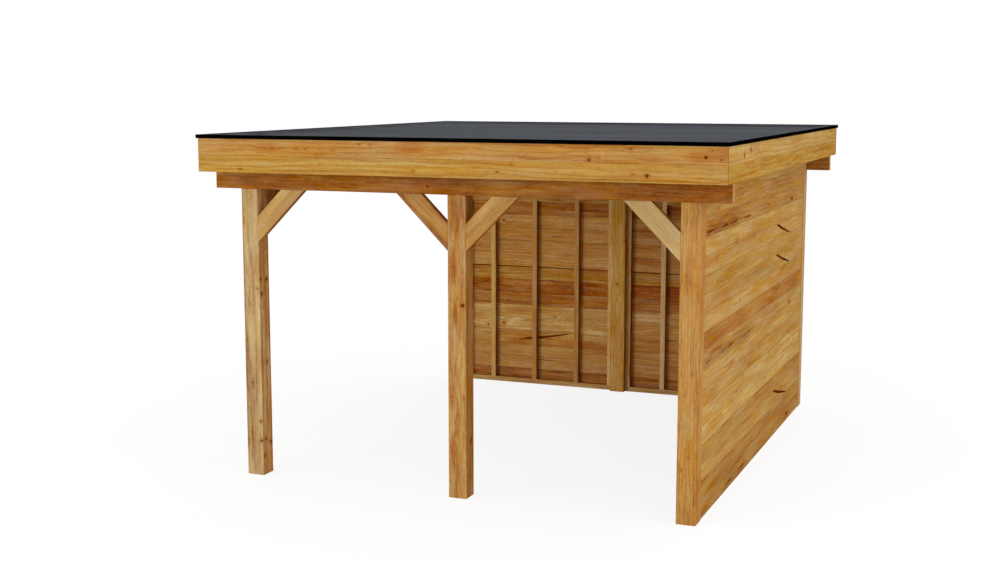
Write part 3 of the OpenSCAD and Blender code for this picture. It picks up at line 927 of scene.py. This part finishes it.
# %% The three bays
SIDE_WOODS = varied((AMBER, AMBER, HONEY, AMBER, STRAW, STRAW, HONEY, HONEY, MALT, RUSSET, HONEY,
                     MALT, GOLD, HONEY, HONEY, AMBER, AMBER, HONEY), vivid=-0.03)
BACK_WOODS = varied((UMBER, MALT, HONEY, HONEY, STRAW, STRAW, UMBER, (0.62, -0.6, 1.0), GOLD, HONEY,
                     HONEY, HONEY, HONEY, UMBER, HONEY, AMBER, AMBER), lean=-0.8)
clad_back = douglas_fir("cladding_back", "x", 1.0, patchy=0.15, rings=0.7,
                        cloudy=0.4, run=1.3, knots=BACK_KNOTS, blotches=BACK_BLOTCHES)
clad_side = douglas_fir("cladding_side", "y", 0.66, patchy=0.15, rings=0.6,
                        cloudy=0.45, run=1.8, knots=SIDE_KNOTS, specks=SIDE_SPECKS,
                        blotches=SIDE_BLOTCHES, dashes=SIDE_DASHES, smudges=SIDE_SMUDGES)
OPEN_BOARD = 8
clad("cladding_back_left_boards", "cladding_back_left", BACK_WOODS, clad_back, math.pi,
     BACK_SPLITS, OPEN_BOARD)
clad("cladding_back_right_boards", "cladding_back_right", varied(BACK_WOODS, lean=-0.5), clad_back,
     math.pi, None, OPEN_BOARD)
clad("cladding_side_boards", "cladding_side", SIDE_WOODS, clad_side, QUARTER, SIDE_SPLITS)

# %% [markdown]
# Roof deck
# ---------
# Thinner tongued boards lie across the joists, good face down, as the ceiling between them. They
# are the same board as the walls', made once at its own thickness, laid flat and copied along, and
# the last one is cut to fit.

# %% Roof deck
CEILING_CHAMFER, ROOF_CHAMFER = 0.0025, 0.001
deck_low, deck_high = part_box("deck")
deck_size = deck_high - deck_low
deck_model = tongued_board(deck_size.x, deck_size.z, CEILING_CHAMFER, ROOF_CHAMFER)
deck_boards = []
for number in range(math.ceil(deck_size.y / COVER)):
    board = twin_of(deck_model)
    board.rotation_euler.x = QUARTER
    board.location = (0, deck_high.y - number * COVER, deck_low.z)
    settle(board)
    bpy.ops.object.mode_set(mode="EDIT")
    bpy.ops.mesh.select_all(action="SELECT")
    bpy.ops.mesh.bisect(plane_co=deck_low, plane_no=(0, -1, 0), use_fill=True, clear_outer=True)
    bpy.ops.object.mode_set(mode="OBJECT")
    deck_boards.append(mark(board, dice.choice((HONEY, GOLD, GOLD, AMBER, AMBER))))
bpy.data.objects.remove(deck_model)
deck = join("deck_boards", deck_boards)
deck_wood = douglas_fir("deck", "x", 0.8, roughness=0.7)
finish(deck, "deck", deck_wood, "deck")

# %% [markdown]
# Rubber roof sheet
# -----------------
# One sheet of black roofing rubber lies on the deck and turns up over the battens. It is matt and
# slightly dusty, which makes it look dark grey under the sky, and it was rolled out on wet glue,
# so faint waves and squeegee marks stay in it. Rubber should not be folded sharply, so a flat
# wedge fills the corner in front of the battens and the sheet runs up it to the rim. The wedge is
# made by pulling the sheet's flat part in from the rim and leaving the rim where it is.

# %% Rubber roof sheet
STREAK_LONG_MM, STREAK_WIDE_MM, GRIT_MM = 2600, 170, 12
RIM_WIDTH, WEDGE_RUN, SHEET_T = 0.048, 0.06, 0.003


def roof_rubber():
    """Black sheet rubber, greyed by dust that gathers in faint streaks. The grit is drawn coarser
    than real dust, so that it shows."""
    material, tree, output = new_material("roofing_rubber")
    spot = add_node(tree, "TexCoord").outputs["Object"]
    dust = streaks(tree, spot, STREAK_LONG_MM, STREAK_WIDE_MM)
    grit = streaks(tree, spot, GRIT_MM, GRIT_MM)
    amount = add_node(tree, "Math", [grit, 0.15, dust], operation="MULTIPLY_ADD")
    colour = add_node(tree, "ValToRGB", [amount],
                      ((0.42, "#2c2f34"), (0.56, "#3a3d43"), (0.7, "#4b4f56")))
    bump = add_node(tree, "Bump", {"Strength": 0.3, "Distance": 0.001, "Height": dust})
    rough = add_node(tree, "MapRange", [dust, 0.3, 0.7, 0.7, 0.85], **SMOOTH)
    shader = add_node(tree, "BsdfPrincipled", {"Base Color": colour, "Roughness": rough,
                                               "Specular IOR Level": 0.06, "Normal": bump})
    tree.links.new(shader.outputs["BSDF"], output.inputs["Surface"])
    return material


rubber = roof_rubber()
sheet = eased("membrane_sheet", "membrane", [HONEY], 0.001)
sheet_low, sheet_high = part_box("membrane")
flat = (sheet_high - sheet_low) / 2 - Vector((RIM_WIDTH, RIM_WIDTH, 0))
bpy.ops.object.mode_set(mode="EDIT")
pick(sheet, faces=lambda c, n: n.z > 0.3 and c.z < sheet_low.z + SHEET_T + 0.001)
bpy.ops.transform.resize(value=(1 - WEDGE_RUN / flat.x, 1 - WEDGE_RUN / flat.y, 1),
                         center_override=(0, 0, 0))
bpy.ops.object.mode_set(mode="OBJECT")
finish(sheet, "membrane", rubber, "membrane")

# %% [markdown]
# Edge trim
# ---------
# Four lengths of folded aluminium with a black powder coat cover the rim and clip the rubber down.
# They are mitred at the corners, and a strip of the rubber is glued over their flange, so that
# from above only the outer lip is black. The strip could be a piece of its own, but it is hardly a
# millimetre thick, so the flange's faces just get the rubber as their material. A powder coat has a
# fine orange-peel texture, drawn here a few times coarser than it is.

# %% Edge trim
PEEL_MM, DUST_MM, FLANGE_T = 2.5, 167, 0.004


def powder_coat():
    """Black powder-coated aluminium."""
    material, tree, output = new_material("powder_coated_aluminium")
    spot = add_node(tree, "TexCoord").outputs["Object"]
    peel = add_node(tree, "TexNoise", {"Vector": spot, "Scale": 1000 / PEEL_MM, "Detail": 2.0})
    dust = add_node(tree, "TexNoise", {"Vector": spot, "Scale": 1000 / DUST_MM, "Detail": 3.0})
    colour = add_node(tree, "ValToRGB", [dust], ((0.35, "#020202"), (0.7, "#050505")))
    bump = add_node(tree, "Bump", {"Strength": 0.2, "Distance": 0.0003, "Height": peel})
    rough = add_node(tree, "MapRange", [dust, 0.3, 0.7, 0.5, 0.65], **SMOOTH)
    shader = add_node(tree, "BsdfPrincipled", {"Base Color": colour, "Roughness": rough,
                                               "Specular IOR Level": 0.0, "Normal": bump})
    tree.links.new(shader.outputs["BSDF"], output.inputs["Surface"])
    return material


trim_coat = powder_coat()
for side in ("front", "back", "left", "right"):
    node = "trim_" + side
    profile = eased(node + "_profile", node, [HONEY], 0.001)
    profile.data.materials.append(trim_coat)
    profile.data.materials.append(rubber)
    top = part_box(node)[1].z
    for face in profile.data.polygons:
        inward = face.center.x * face.normal.x + face.center.y * face.normal.y < 0
        strip = face.normal.z > 0.9 or (inward and face.center.z > top - FLANGE_T)
        face.material_index = int(strip)
    finish(profile, "trim", trim_coat, node)
